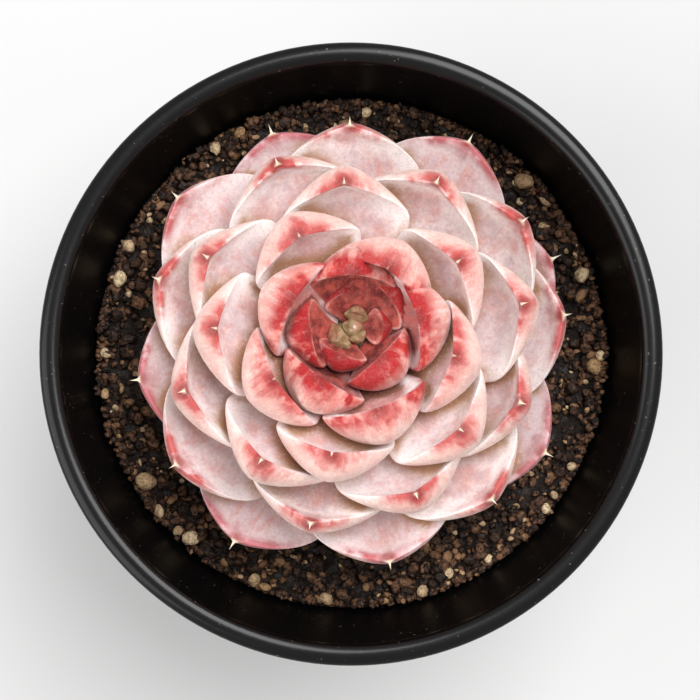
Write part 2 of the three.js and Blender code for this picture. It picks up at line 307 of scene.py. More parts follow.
# %% Stages of a leaf
STAGES = [
    # age, reach, tip, stem, foot, half, thick, start, end, cup, fold, thorn: the slopes start
    # and end are in degrees, fold is a share of half the width, and the others are lengths
    (1, 1.3, 22, 0.5, 20, 1.1, 0.9, 70, 90, 3, 0.2, 0.2),
    (5, 4, 24.6, 1.3, 19.6, 3.2, 2, 42, 110, 6, 0.28, 0.3),
    (8, 6, 28, 2.1, 19.2, 5.2, 3, 36, 130, 8.5, 0.36, 0.5),
    (10, 7.6, 31.4, 2.6, 19, 6.8, 4, 32, 130, 11, 0.42, 0.6),
    (14, 11.4, 34.6, 3.4, 18.2, 8.9, 4.9, 27, 126, 16, 0.43, 0.9),
    (20, 20.2, 34, 4.6, 16.4, 10.2, 4.8, 19, 110, 27, 0.4, 1.3),
    (28, 28.8, 28.4, 5.4, 12.6, 12, 4.9, 10, 90, 40, 0.31, 1.7),
    (36, 36.2, 20.5, 6, 8.2, 13.2, 4.8, 4, 60, 55, 0.2, 2),
    (47, 40.4, 11, 6.4, 2.8, 13.6, 4.4, -6, 30, 80, 0.1, 2.2),
]
LEAVES = 47
HEART_LEAVES = 4  # so small and tight that they are one bud
LEAF_TURN = 137.9  # degrees from one leaf to the next older one
FIRST_TURN = 23  # degrees from +X to where a leaf before the first would point
FIRST_STRAYING_LEAF = 5
TURN_STRAY = [
    # degrees
    9, -24, -22, -9, 5, -8, -12, -2, -2, -2, -2, -9, 4, 2, -5, 0, -5, 1, 4, 0, 4, 2, 5, 8, -1,
    -2, 1, -3, 4, 3, -7, 4, 5, -8, 6, 1, 3, 5, -3, 0, 2, -7, -1,
]
REACH_STRAY = [
    # millimetres
    1, 1, 0, 1.5, 0.4, -1, 1.2, -0.5, 1, -0.5, 0.5, -2, -1, 0, -0.5, 0, 0, 0, 0.5, 1, 0, 2.5,
    0, 0, 0.5, -1, -1, 0, -1.5, 1.5, -0.5, 0.5, 1.5, 0, 0, 2, 0.5, 3, -1, 0, 1, 0.5, -1,
]


def form_at(age):
    """The figures of a leaf of this age, on smooth curves through the stages."""
    last = len(STAGES) - 1
    at = max(i for i in range(last) if STAGES[i][0] <= age)
    span = STAGES[at + 1][0] - STAGES[at][0]
    t = (age - STAGES[at][0]) / span

    def slope(j, figure):
        before, after = STAGES[max(j - 1, 0)], STAGES[min(j + 1, last)]
        return (after[figure] - before[figure]) / (after[0] - before[0])

    return [
        (2 * t**3 - 3 * t**2 + 1) * STAGES[at][figure]
        + (t**3 - 2 * t**2 + t) * span * slope(at, figure)
        + (3 * t**2 - 2 * t**3) * STAGES[at + 1][figure]
        + (t**3 - t**2) * span * slope(at + 1, figure)
        for figure in range(1, len(STAGES[0]))
    ]


print("reach of leaf 30:", round(form_at(30)[0], 1), "mm")

# %% [markdown]
# ## The leaf's midline and skin
#
# A leaf is thick like a pebble drawn out to a point. Its midline is a Bezier curve in the
# upright plane through the stem: it leaves the stem low, runs out and curls up at the tip. On
# that line stand cross-sections with a nearly flat upper face and a full belly below, and the
# last of them shrink into a small thorn. The same figures made the solids in the frame.

# %% The leaf's shape
WIDEST = 0.62  # share of a leaf's length where it is widest
FATTEST = 0.55  # and where it is thickest
FOOT_WIDTH = 0.26  # share of the full width where the leaf leaves the stem
FOOT_HANDLE = 0.46  # lengths of the midline's handles, as shares of its chord
TIP_HANDLE = 0.4
MIDLINE_STEPS = 60
THORN_BEND = 50  # degrees that the thorn of an upright leaf turns outwards
HEART_DRIFT = Vector((0.4, 2.1, 0))  # of the stem's top and the youngest leaves


def smoothstep(x, start, end):
    t = min(1.0, max(0.0, (x - start) / (end - start)))
    return t * t * (3 - 2 * t)


def joined(a, b):
    """The larger of the two, rounded over to more where they are alike."""
    return (a**3 + b**3) ** (1 / 3)


class Leaf:
    """One leaf of the rosette, by its age."""

    def __init__(self, age):
        self.age = age
        figures = form_at(age)
        reach, tip, stem, foot, self.half, self.thick = figures[:6]
        start, end, self.cup, self.fold, self.thorn = figures[6:]
        turn = FIRST_TURN + LEAF_TURN * age
        stray = age - FIRST_STRAYING_LEAF
        if stray >= 0:
            reach += REACH_STRAY[stray]
            turn += TURN_STRAY[stray]
        self.turn = math.radians(turn)
        self.blunt = smoothstep(age, 24, 40)
        self.bend = math.radians(THORN_BEND) * smoothstep(end, 40, 110)
        self.drift = HEART_DRIFT * (1 - smoothstep(age, 8, 12))
        chord = math.dist((stem, foot), (reach, tip))
        start, end = math.radians(start), math.radians(end)
        self.handles = [
            Vector((stem, foot)),
            Vector((stem, foot)) + FOOT_HANDLE * chord * Vector((math.cos(start), math.sin(start))),
            Vector((reach, tip)) - TIP_HANDLE * chord * Vector((math.cos(end), math.sin(end))),
            Vector((reach, tip)),
        ]
        self.measure()

    def bezier(self, t):
        a, b, c, d = self.handles
        u = 1 - t
        point = u**3 * a + 3 * u * u * t * b + 3 * u * t * t * c + t**3 * d
        heading = u * u * (b - a) + 2 * u * t * (c - b) + t * t * (d - c)
        return point, heading.normalized()

    def measure(self):
        """How far along the line each of its steps lies, and its length."""
        steps = [self.bezier(i / MIDLINE_STEPS)[0] for i in range(MIDLINE_STEPS + 1)]
        strides = [(b - a).length for a, b in zip(steps, steps[1:])]
        self.run = np.concatenate([[0.0], np.cumsum(strides)])
        self.length = float(self.run[-1])

    def midline(self, share):
        """Point and heading at a share of the length. Past 1 it runs along the thorn, bent outwards."""
        t = float(np.interp(share * self.length, self.run, np.linspace(0, 1, MIDLINE_STEPS + 1)))
        point, heading = self.bezier(t)
        past = max(0.0, share - 1) * self.length
        if past > 0:
            heading = Matrix.Rotation(-self.bend * min(1.0, past / (0.4 * self.thorn)), 2) @ heading
        return point + past * heading, heading

    def outline(self, share):
        """The leaf's width there, as a share of its full width."""
        if share < WIDEST:
            return FOOT_WIDTH + (1 - FOOT_WIDTH) * math.sin(share / WIDEST * math.pi / 2) ** 1.35
        past = (min(share, 1) - WIDEST) / (1 - WIDEST)
        return (1 - past ** (1.75 + 0.7 * self.blunt)) ** (1 - 0.28 * self.blunt)

    def fatness(self, share):
        """The leaf's thickness there, as a share of its full thickness."""
        if share < FATTEST:
            return 0.5 + 0.5 * math.sin(share / FATTEST * math.pi / 2)
        past = (min(share, 1) - FATTEST) / (1 - FATTEST)
        return (1 - past**2.6) ** 0.6

    def thorn_radius(self, past):
        """The thorn's radius at a distance past the end of the midline."""
        root, full = -0.6 * self.thorn, 0.27 * self.thorn
        if past < root:
            return full * max(0.0, 1 + (past - root) / (1.2 * self.thorn))
        return full * max(0.0, 1 - (past - root) / (1.6 * self.thorn)) ** 1.3

    def turned(self, out, height, across=0.0):
        """A point or heading in the leaf's own plane, turned to its direction from the stem."""
        cosine, sine = math.cos(self.turn), math.sin(self.turn)
        return Vector((out * cosine - across * sine, out * sine + across * cosine, height))

    def skin(self, share, around):
        """A point of the skin in the plant's frame, on the upper face where around is 0 to pi."""
        centre, heading = self.midline(share)
        thorn = self.thorn_radius((share - 1) * self.length)
        side = math.cos(around)
        off = min(1.0, abs(side))
        round_ = math.sqrt(1 - off * off)
        half = joined(self.half * self.outline(share), thorn)
        thick = self.thick * self.fatness(share)
        lip = 0.3 * thick * (1 - smoothstep(share, 0.45, 0.9))  # how round the edge is
        folded = smoothstep(share, 0.5, 0.95)  # the foot is cupped, and the tip folded
        fullness = 2.0
        if math.sin(around) >= 0:
            fullness -= 0.7 * folded
            lift = thorn * round_ + lip * math.sqrt(1 - off**4) + 0.04 * thick * round_**2
        else:
            keel = 1 + 0.1 * max(0, 1 - off * 2.2) * max(0, share - 0.4) / 0.6
            lift = -joined((thick - lip * 0.6) * (1 - off**2.6) ** 0.56 * keel, thorn * round_)
        edge_lift = half * half / (2 * self.cup) * (1 - folded) + half * self.fold * folded
        lift += edge_lift * off**fullness
        out = centre.x - heading.y * lift
        return self.turned(out, centre.y + heading.x * lift, half * side) + self.drift


print("length of the oldest leaf:", round(Leaf(LEAVES).length, 1), "mm")

# %% [markdown]
# ## A leaf's mesh
#
# Modelling each leaf by hand would take days, and a subdivided cage would lose the thorn. A
# UV sphere has just the right net: its poles become the leaf's foot and the thorn's point, its
# meridians run along the leaf, and each of its corners is moved to its place on the skin. The
# finish needs to know where it is on the leaf. So every corner also stores its distance to the
# tip and to the margin, which is where the red is, how far it lies across, along and past the
# midline, and the leaf's age.

# %% Leaf meshes
PLANT_OFFSET = 0.6  # from the pot's axis, towards +Y
PLANT_LEVEL = 67.4
PLANT_LEAN = math.radians(5)
PLANT_PLACE = Matrix.Translation((0, PLANT_OFFSET, PLANT_LEVEL)) @ Matrix.Rotation(-PLANT_LEAN, 4, "X")
TO_METRES = Matrix.Scale(MM, 4)
MERIDIANS = 40
RINGS = 46
TIP_CROWDING = 1.6  # how much closer the rings stand near the tip
MARGIN_SPOTS = 70  # on each side, to measure from
STORED = ("margin", "tip", "age", "past", "across", "along")


def margin_distances(leaf, spots, uppers):
    """Distance from each spot to the leaf's margin, positive on the upper face."""
    shares = np.linspace(0.02, 1.0, MARGIN_SPOTS)
    margin = np.array([leaf.skin(s, around) for around in (0.0, math.pi) for s in shares])
    away = np.sqrt(((spots[:, None, :] - margin[None, :, :]) ** 2).sum(axis=2)).min(axis=1)
    return away * np.where(uppers, 1.0, -1.0)


def net_place(corner):
    """How far back from the thorn's point a sphere's corner goes, from 0 to 1, and its side."""
    on_axis = math.hypot(corner.co.x, corner.co.y) < 1e-5
    around = math.pi / 2 if on_axis else math.atan2(corner.co.y, corner.co.x)
    down = math.acos(max(-1.0, min(1.0, corner.co.z))) / math.pi
    return (1 - down) ** TIP_CROWDING, around


def leaf_bmesh(leaf, meridians=MERIDIANS, rings=RINGS):
    bm = bmesh.new()
    bmesh.ops.create_uvsphere(bm, u_segments=meridians, v_segments=rings, radius=1)
    net = [net_place(corner) for corner in bm.verts]
    end = 1 + leaf.thorn / leaf.length
    spots = [leaf.skin(end * (1 - back), around) for back, around in net]
    uppers = [math.sin(around) >= -1e-6 for _, around in net]
    from_margin = margin_distances(leaf, np.array(spots), np.array(uppers))
    point, heading = leaf.bezier(1)
    tip = leaf.turned(point.x, point.y) + leaf.drift
    onwards = leaf.turned(heading.x, heading.y)
    sideways = leaf.turned(0, 0, 1)
    layers = {name: bm.verts.layers.float.new(name) for name in STORED}
    for corner, spot, margin, (back, _) in zip(bm.verts, spots, from_margin, net):
        corner[layers["margin"]] = margin
        corner[layers["tip"]] = (spot - tip).length
        corner[layers["age"]] = leaf.age
        corner[layers["past"]] = (spot - tip).dot(onwards) / leaf.thorn
        corner[layers["across"]] = spot.dot(sideways)
        corner[layers["along"]] = end * (1 - back) * leaf.length
        corner.co = TO_METRES @ PLANT_PLACE @ spot
    return bm


print("faces round and along a leaf:", MERIDIANS, RINGS)

# %% [markdown]
# ## What a leaf's colours follow
#
# The colours of a leaf change with its age and with the distance to its tip and margin. Used
# as they are, these distances draw borders as clean as a printed sticker. So three noises are
# added to them: a wandering one of a few millimetres, larger blotches, and streaks that run
# along the leaf. A fourth, fine as chalk, is for the powder.

# %% Guides for the leaf's finish
YOUNG = (21, 12)  # grown at the first age, fully young at the second
BUD = (14, 9)  # the same for the very youngest, round the heart
ELDER = (35, 45)  # still fresh at the first age, fully old at the second


def leaf_guides(finish):
    """Amounts that the leaf's colours follow: ages, distances in millimetres and noises."""
    leaf = SimpleNamespace()
    leaf.age = finish.attribute("age")
    leaf.young = finish.step(leaf.age, *YOUNG)
    leaf.bud = finish.step(leaf.age, *BUD)
    leaf.elder = finish.step(leaf.age, *ELDER)
    leaf.wander = finish.noise(420, 5.0, roughness=0.62)
    leaf.blotch = finish.noise(170, 3.0, roughness=0.6)
    leaf.chalk = finish.noise(1700, 5.0, roughness=0.75)
    across = finish.attribute("across") * 0.9
    along = finish.attribute("along") * 0.25
    leaf.streaks = finish.noise(1.0, 3.0, finish.vector(X=across, Y=along, Z=leaf.age * 7.3))
    leaf.strength = finish.step(leaf.streaks * 0.4 + leaf.wander + leaf.blotch * 0.6, 0.8, 1.2)
    leaf.margin = finish.attribute("margin")
    leaf.from_tip = finish.attribute("tip")
    leaf.upper = finish.step(leaf.margin + (leaf.wander - 0.5) * 0.6, -0.6, 0.5)
    # the distances to the margin and to the tip, roughened
    leaf.edge = abs(leaf.margin) + (leaf.wander - 0.5) * 1.8 + (leaf.blotch - 0.5) * 2.0
    leaf.tip = leaf.from_tip + (leaf.blotch - 0.5) * 8.0 + (leaf.streaks - 0.5) * 5.0
    return leaf


print("fully young up to leaf", YOUNG[1], "and ageing from leaf", ELDER[0])

# %% [markdown]
# ## Powder and peach
#
# The skin is pale pink under a white powder that rubs off. On the upper face the powder is
# whitest along the margin, greyish lilac on old leaves and on some others, and rubbed thin in
# patches. Inside, young leaves are a warm red beyond a white strip at the edge. The backs are
# peach, and the young ones have red streaks. Towards the foot, where no sun comes, the skin is
# olive, and darker too, as painted shade of the deep crevices. Each is a coat of colour over the
# last, as a painter would lay them.

# %% The two faces of a leaf
POWDER = paint(236, 222, 221)
THIN_POWDER = paint(224, 186, 181)
LILAC_POWDER = paint(196, 178, 187)
EDGE_POWDER = paint(255, 253, 252)
ELDER_POWDER = paint(212, 192, 196)
YOUNG_POWDER = paint(255, 246, 244)
GREYER_POWDER = paint(210, 194, 199)
YOUNG_INSIDE = paint(182, 78, 68)
RUBBED_SKIN = paint(212, 150, 140)
PEACH = paint(240, 212, 200)
DEEP_PEACH = paint(226, 186, 178)
EDGE_PEACH = paint(252, 241, 235)
ELDER_BACK = paint(214, 172, 174)
YOUNGER_BACK = paint(241, 205, 196)
BACK_STREAKS = paint(222, 142, 130)
# olive of the leaf's foot, partly its own colour and partly painted shade of the crevices
OLIVE_FOOT_WITH_PAINTED_SHADE = paint(184, 138, 92)


def upper_face(finish, leaf):
    inside = finish.step(leaf.age, 21, 14) * finish.step(leaf.edge, 2.0, 3.8)
    own = finish.noise(1.0, 1.0, finish.vector(X=leaf.age * 3.7))
    rubbed = finish.step(leaf.blotch * 0.5 + leaf.streaks * 0.5, 0.48, 0.6) * (0.35 + 0.2 * leaf.elder)
    return finish.coated(
        finish.mix(finish.step(leaf.blotch, 0.35, 0.65), POWDER, THIN_POWDER),
        (finish.step(leaf.wander, 0.4, 0.62) * 0.55, LILAC_POWDER),
        (finish.step(leaf.edge, 5.5, 0.8) * 0.95, EDGE_POWDER),
        (leaf.elder * 0.7, ELDER_POWDER),
        (leaf.young * 0.85, YOUNG_POWDER),
        (inside * (0.5 + 0.6 * leaf.wander), YOUNG_INSIDE),
        (finish.step(own, 0.42, 0.62) * (1 - leaf.young) * 0.35, GREYER_POWDER),
        (rubbed * finish.step(leaf.edge, 2, 4.5), RUBBED_SKIN),
    )


def back_face(finish, leaf):
    streaks = finish.step(leaf.streaks + leaf.wander * 0.5, 0.6, 0.85)
    return finish.coated(
        finish.mix(finish.step(leaf.wander, 0.35, 0.65), PEACH, DEEP_PEACH),
        (finish.step(leaf.edge, 2.6, 0.6) * (1 - leaf.young) * 0.6, EDGE_PEACH),
        (leaf.elder * 0.6, ELDER_BACK),
        (finish.step(leaf.age, 28, 19) * 0.6, YOUNGER_BACK),
        (leaf.young * streaks * 0.65, BACK_STREAKS),
    )


def both_faces(finish, leaf):
    skin = finish.mix(leaf.upper, back_face(finish, leaf), upper_face(finish, leaf))
    # towards the foot the olive coat is partly the leaf's own colour and partly painted shade
    foot = finish.step(leaf.from_tip + (leaf.blotch - 0.5) * 4.0, 13, 20)
    return finish.mix(foot * 0.8, skin, OLIVE_FOOT_WITH_PAINTED_SHADE)


print("lilac on old leaves:", [round(c, 2) for c in ELDER_POWDER[:3]])

# %% [markdown]
# ## The red
#
# Sun turns the tip red first, darkest round the thorn. From there the red runs back along the
# margin as a broken band, and fades inwards in a thin wash. On young leaves the band reaches
# further, and the backs of the very youngest are red all over. Old leaves keep only a dull
# mauve of it.

# %% Red tips and margins
WASH = paint(226, 140, 130)
RED = paint(219, 84, 75)
DEEP_RED = paint(172, 30, 34)
GROWN_RED = paint(206, 112, 106)
ELDER_RED = paint(176, 104, 112)


def washed(finish, leaf, skin):
    near = finish.step(leaf.tip, 12, 3) * finish.step(leaf.edge, 6, 1)
    wash = near * (0.15 + 0.5 * leaf.strength) * (1 - leaf.upper * 0.75)
    return finish.mix(wash, skin, WASH)


def redness(finish, leaf):
    """How much of the red covers the skin, from 0 to 1."""
    reach = 8 + 17 * leaf.young + 6 * leaf.elder
    width = 2.0 + leaf.young * (2.1 - 2.9 * leaf.upper)
    whole = leaf.young * 0.35
    broken = whole + (1 - whole) * finish.step(leaf.blotch, 0.34, 0.56)
    band = finish.step(leaf.edge / width, 1.4, 0.2) * finish.step(leaf.tip / reach, 1.1, 0.45)
    band = band * broken.at_least(0.3)
    spot = finish.step(leaf.tip - leaf.young * 0.4, 4.6, 1.2) * (1 - leaf.upper * 0.35)
    red = (band * (0.8 + 0.5 * leaf.strength)).at_least(spot * (0.8 + 0.3 * leaf.strength))
    back = leaf.bud * (1 - leaf.upper) * (0.1 + 0.45 * leaf.strength)
    return (red + back).at_most(1.0)


def red_skin(finish, leaf):
    core = finish.step(leaf.wander + leaf.blotch + finish.step(leaf.tip, 5, 1) * 0.25, 0.78, 1.1)
    return finish.coated(
        finish.mix(core, RED, DEEP_RED),
        ((1 - leaf.young) * 0.5, GROWN_RED),
        (leaf.elder * 0.8, ELDER_RED),
    )


print("deepest red:", [round(c, 2) for c in DEEP_RED[:3]])

# %% [markdown]
# ## Inside the heart
#
# The leaves round the bud face each other, so little light gets in. Their inner faces are red
# and moist, and that shade is painted into them as a dark wine red. Only their edges are paler,
# in broken pieces. The same share of the skin later gives them a wet gloss.

# %% Wine red
# painted shade: the red of the heart's inner faces darkened to stand for the shade in there
WINE_WITH_PAINTED_SHADE = paint(108, 30, 30)
BRIGHT_WINE = paint(198, 90, 78)
WINE_EDGE = paint(216, 112, 100)
PALE_RIM = paint(244, 196, 184)


# the inner faces round the heart: moist, and given the painted shade of the heart
def moist_inside_with_painted_shade(finish, leaf):
    return finish.step(leaf.age, 15, 11) * leaf.upper * finish.step(leaf.margin + leaf.bud * 1.4, 0.5, 1.8)


def wine_skin(finish, leaf):
    edge = finish.step(leaf.margin + (leaf.wander - 0.5) * 2.0, 1.4, 0.2)
    rim = finish.step(leaf.margin + (leaf.wander - 0.5) * 1.2, 0.8, 0.3)
    return finish.coated(
        finish.mix(finish.step(leaf.streaks * 0.35 + leaf.wander, 0.5, 0.85), WINE_WITH_PAINTED_SHADE, BRIGHT_WINE),
        (edge * 0.7, WINE_EDGE),
        (rim * finish.step(leaf.streaks + leaf.wander, 0.85, 1.1) * 0.75, PALE_RIM),
    )


print("wine red:", [round(c, 2) for c in WINE_WITH_PAINTED_SHADE[:3]])

# %% [markdown]
# ## Marks, and the whole finish
#
# Where leaves lie close, their shade is painted into the skin as a brownish tone, wine dark on
# young leaves. The thorn is cream with a dark ring at its foot. A few dark specks and grains of
# chalk lie over all of it, except that a red or moist skin is too bare to hold chalk. The powder
# scatters light like a very fine cloth, which is what sheen is for, and subsurface light makes
# the flesh look full of water.

# %% Leaf finish
# painted shade where leaves lie close: brownish on grown leaves, wine dark on young ones
PAINTED_CLEFT_SHADE = paint(176, 132, 90)
PAINTED_YOUNG_CLEFT_SHADE = paint(92, 26, 20)
THORN_RING = paint(138, 40, 38)
THORN_CREAM = paint(240, 226, 200)
SPECK = paint(120, 86, 84)
WORN_CHALK = paint(176, 138, 134)
WHITE_CHALK = paint(253, 246, 243)


def marked(finish, leaf, skin, bare):
    # painted shade, darker the nearer the next leaf lies, and none close to the margin
    shade_in_cleft = finish.step(finish.attribute("shade_in_cleft") + (leaf.wander - 0.5) * 0.2, 0.08, 0.55)
    shade_in_cleft = shade_in_cleft * finish.step(leaf.edge - leaf.young * leaf.upper * 1.8, 0.4, 2.4)
    ring = finish.step(leaf.from_tip + (leaf.wander - 0.5) * 2.0, 2.3, 0.8)
    thorn = finish.step(finish.attribute("past"), -0.15, 0.2) * finish.step(leaf.age, 13, 20)
    speck = finish.step(finish.noise(1150, 2.0), 0.69, 0.75)
    return finish.coated(
        skin,
        (shade_in_cleft * (0.45 + 0.45 * leaf.upper), finish.mix(leaf.young, PAINTED_CLEFT_SHADE, PAINTED_YOUNG_CLEFT_SHADE)),
        (ring * 0.75, THORN_RING),
        (thorn, THORN_CREAM),
        (speck * 0.2, SPECK),
        (finish.step(leaf.chalk, 0.5, 0.36) * 0.3, WORN_CHALK),
        (finish.step(leaf.chalk, 0.54, 0.66) * 0.3 * (1 - bare * 0.8), WHITE_CHALK),
    )


def leaf_finish():
    finish = Finish("leaf skin", Subsurface_Weight=0.12, Subsurface_Scale=0.0015,
                    Subsurface_Radius=(1.0, 0.45, 0.35), Specular_IOR_Level=0.35,
                    Sheen_Weight=0.3, Sheen_Roughness=0.35, Coat_Roughness=0.12)
    leaf = leaf_guides(finish)
    red = redness(finish, leaf)
    moist_with_painted_shade = moist_inside_with_painted_shade(finish, leaf)
    skin = washed(finish, leaf, both_faces(finish, leaf))
    skin = finish.coated(skin, (red, red_skin(finish, leaf)), (moist_with_painted_shade, wine_skin(finish, leaf)))
    skin = marked(finish, leaf, skin, red.at_least(moist_with_painted_shade))
    rough = 0.6 - red * 0.2 - moist_with_painted_shade * 0.12 + (leaf.chalk - 0.5) * 0.3
    relief = finish.bump(leaf.chalk * 0.6 + leaf.wander, 0.2, 0.7)
    return finish.feed(Base_Color=skin, Roughness=rough, Coat_Weight=moist_with_painted_shade * 0.6, Normal=relief)


LEAF_SKIN = leaf_finish()
GROWN_AGE = 16
OLD_AGE = 38


def slot_for(age):
    """The record's slot for a leaf of this age."""
    if age < GROWN_AGE:
        return "young_leaf"
    return "grown_leaf" if age < OLD_AGE else "old_leaf"


def add_leaf(age):
    node = f"leaf_{age:02d}"
    return finished(f"{node}_skin", leaf_bmesh(Leaf(age)), LEAF_SKIN, slot_for(age), node)


leaf_pieces = [add_leaf(age) for age in range(HEART_LEAVES + 1, LEAVES + 1)]
print("faces in the leaves:", sum(len(piece.data.polygons) for piece in leaf_pieces))

# %% [markdown]
# ## The heart
#
# In the middle the youngest leaves are still a tight olive bud, and wetter than the rest,
# because no light has reddened them yet. It is one soft dome with four tiny leaves on it, made
# with the same leaf code and joined in one mesh. Its clear coat is the film of moisture.

# %% Heart bud
STEM_LENGTH = 19.6
DOME = (1.9, 1.9, 2.2)  # half its size each way
OLIVE_FLESH = paint(182, 155, 121)
DARK_FLESH = paint(130, 106, 72)
FLESH_BLUSH = paint(168, 96, 80)


def heart_finish():
    finish = Finish("heart skin", Subsurface_Weight=0.2, Subsurface_Scale=0.0008,
                    Subsurface_Radius=(1.0, 0.7, 0.35), Coat_Weight=0.5, Coat_Roughness=0.12)
    mottle = finish.noise(900, 4.0)
    skin = finish.coated(
        finish.mix(finish.step(mottle, 0.35, 0.65), OLIVE_FLESH, DARK_FLESH),
        (finish.step(finish.noise(420, 3.0), 0.48, 0.62) * 0.4, FLESH_BLUSH),
    )
    relief = finish.bump(mottle, 0.15, 0.6)
    return finish.feed(Base_Color=skin, Roughness=0.3 + 0.2 * mottle, Normal=relief)


def pour(part, whole):
    """Adds the shape of one bmesh to another. The first isn't needed any more."""
    mesh = to_mesh("poured", part)
    whole.from_mesh(mesh)
    bpy.data.meshes.remove(mesh)


def add_heart():
    """A dome with the youngest leaves on it."""
    bm = bmesh.new()
    middle = Matrix.Translation(HEART_DRIFT + Vector((0, 0, STEM_LENGTH)))
    place = TO_METRES @ PLANT_PLACE @ middle @ Matrix.Diagonal((*DOME, 1))
    bmesh.ops.create_uvsphere(bm, u_segments=32, v_segments=24, radius=1, matrix=place)
    for age in range(1, HEART_LEAVES + 1):
        pour(leaf_bmesh(Leaf(age), meridians=24, rings=26), bm)
    return finished("heart", bm, heart_finish(), "heart_flesh", "heart_bud")


heart = add_heart()
print("faces in the heart:", len(heart.data.polygons))

# %% [markdown]
# ## Painted shade where leaves lie close
#
# Little light and air come where leaves touch, and their shade is painted into the skin as a
# brownish tone that no even colour gives. From each corner of a leaf a few rays look for the
# next leaf. The nearer they find it, the larger the value the corner stores, and the more shade the leaf's
# finish paints there.

# %% Clefts
CLEFT = 5 * MM  # how far a ray looks
OFF_SKIN = 0.2  # where it starts, so that it doesn't meet its own leaf
LEAN = 0.8  # of the rays that aren't straight out
WAYS = ((0, 0, 0), (1, 0, 0), (-1, 0, 0), (0, 1, 0), (0, -1, 0), (0, 0, 1))  # the rays' leans
LEANS = [Vector(way) * LEAN for way in WAYS]


def plant_tree(pieces):
    """All the plant's faces in one tree, for rays to meet."""
    corners, faces = [], []
    for piece in pieces:
        first = len(corners)
        corners += [corner.co.copy() for corner in piece.data.vertices]
        faces += [[first + i for i in face.vertices] for face in piece.data.polygons]
    return BVHTree.FromPolygons(corners, faces)


def cleft_at(tree, corner):
    """How close the next leaf is to a corner, from 0 to 1."""
    start = corner.co + corner.normal * OFF_SKIN * MM
    near = 0
    for lean in LEANS:
        gap = tree.ray_cast(start, corner.normal + lean, CLEFT)[3]
        near += 0 if gap is None else 1 - gap / CLEFT
    return near / len(LEANS)


def store_clefts(piece, tree):
    clefts = [cleft_at(tree, corner) for corner in piece.data.vertices]
    piece.data.attributes.new("shade_in_cleft", "FLOAT", "POINT").data.foreach_set("value", clefts)
    return clefts


whole_plant = plant_tree([*leaf_pieces, heart])
all_clefts = [store_clefts(piece, whole_plant) for piece in leaf_pieces]
print("mean cleft:", round(float(np.mean(all_clefts)), 2))

# %% [markdown]
# ## The stem
#
# Under the leaves is a short thick stem, pale olive and rough. It hardly shows, so it is a
# plain profile spun round its axis, and then its top is leant over to where the heart is.

# %% Stem
STEM_STRAIGHT = 9  # above this the stem leans further over
STEM_SIDES = 48
STEM_PROFILE = [
    (0, -20), (1.6, -19.2), (3.4, -11), (5.2, -4), (6, 0), (6.3, 4), (6, 9), (5.2, 13),
    (4.2, 16.5), (2.6, 18.7), (0, STEM_LENGTH),
]
DARK_BARK = paint(120, 104, 66)
OLIVE_BARK = paint(186, 172, 126)


def spun(profile, sides):
    """A profile of radii and heights, turned round Z. It starts and ends on the axis."""
    bm = bmesh.new()
    corners = [bm.verts.new((radius, 0, height)) for radius, height in profile]
    edges = [bm.edges.new(pair) for pair in zip(corners, corners[1:])]
    bmesh.ops.spin(bm, geom=corners + edges, cent=(0, 0, 0), axis=(0, 0, 1),
                   angle=2 * math.pi, steps=sides, use_merge=True)
    bmesh.ops.remove_doubles(bm, verts=bm.verts, dist=1e-4)
    bmesh.ops.transform(bm, matrix=TO_METRES, verts=bm.verts)
    return bm


def stem_finish():
    finish = Finish("stem skin")
    bark = finish.noise(500, 4.0)
    skin = finish.mix(bark, DARK_BARK, OLIVE_BARK)
    return finish.feed(Base_Color=skin, Roughness=0.6 + 0.3 * bark, Normal=finish.bump(bark, 0.4))


def stem_bmesh():
    """The spun stem, whose top leans further over."""
    bm = spun(STEM_PROFILE, STEM_SIDES)
    for corner in bm.verts:
        spot = corner.co / MM
        spot += HEART_DRIFT * smoothstep(spot.z, STEM_STRAIGHT, STEM_LENGTH)
        corner.co = TO_METRES @ PLANT_PLACE @ spot
    return bm


stem = finished("stem_skin", stem_bmesh(), stem_finish(), "stem_skin", "stem")
print("faces in the stem:", len(stem.data.polygons))

# %% [markdown]
# ## The pot
#
# It is a moulded plastic pot, so it is a spun profile: a foot ring, a straight tapered wall
# and a rolled rim. Eight slots are cut through its floor with a Boolean. Black plastic is
# nearly all gloss and no colour: the sheen is broad and soft, with fine scuffs and dust.

# %% Pot
POT_SIDES = 160
RIM_ROLL_WIDTH = 3.7  # the rolled rim's section is an oval
RIM_ROLL_HEIGHT = 2.3
RIM_ROLL_START = -50  # degrees above level, where the outer wall meets the oval
RIM_ROLL_SWEEP = 230
RIM_ROLL_STEPS = 14
FLOOR_TOP = 2.6
DRAIN_SLOTS = 8
SLOT_SIZE = (13, 3.6, 6)
SLOT_MIDDLE = 23.5
LIP_FROM = 82.4  # above this level the plastic is smoother
LIP_TO = 83.4
BLACK_PLASTIC = paint(3, 3, 4)
PALER_PLASTIC = paint(6, 6, 7)
DUST = paint(150, 140, 125)


def rim_roll():
    """The oval from the outside of the rim over its top to the inner wall."""
    half_width, half_height = RIM_ROLL_WIDTH / 2, RIM_ROLL_HEIGHT / 2
    middle_radius, middle_level = RIM_RADIUS - half_width, POT_HEIGHT - half_height
    points = []
    for i in range(RIM_ROLL_STEPS + 1):
        turn = math.radians(RIM_ROLL_START + RIM_ROLL_SWEEP * i / RIM_ROLL_STEPS)
        point = (middle_radius + half_width * math.cos(turn), middle_level + half_height * math.sin(turn))
        points.append(point)
    return points


def pot_profile():
    outside = [(0, 0), (8.8, 0), (9.2, 0.2), (10, 1.2), (33.5, 1.2), (34.3, 0.2), (34.7, 0),
               (37.7, 0), (38.4, 0.2), (39, 0.9), (45.7, 41), (52.4, 81.4), (52.6, 82.2)]
    inside = [(51.3, 83.2), (51.15, 82), (44.5, 44), (37.8, 5.2), (37.6, 4.4), (36.6, 3),
              (35.6, FLOOR_TOP), (0, FLOOR_TOP)]
    return outside + rim_roll() + inside


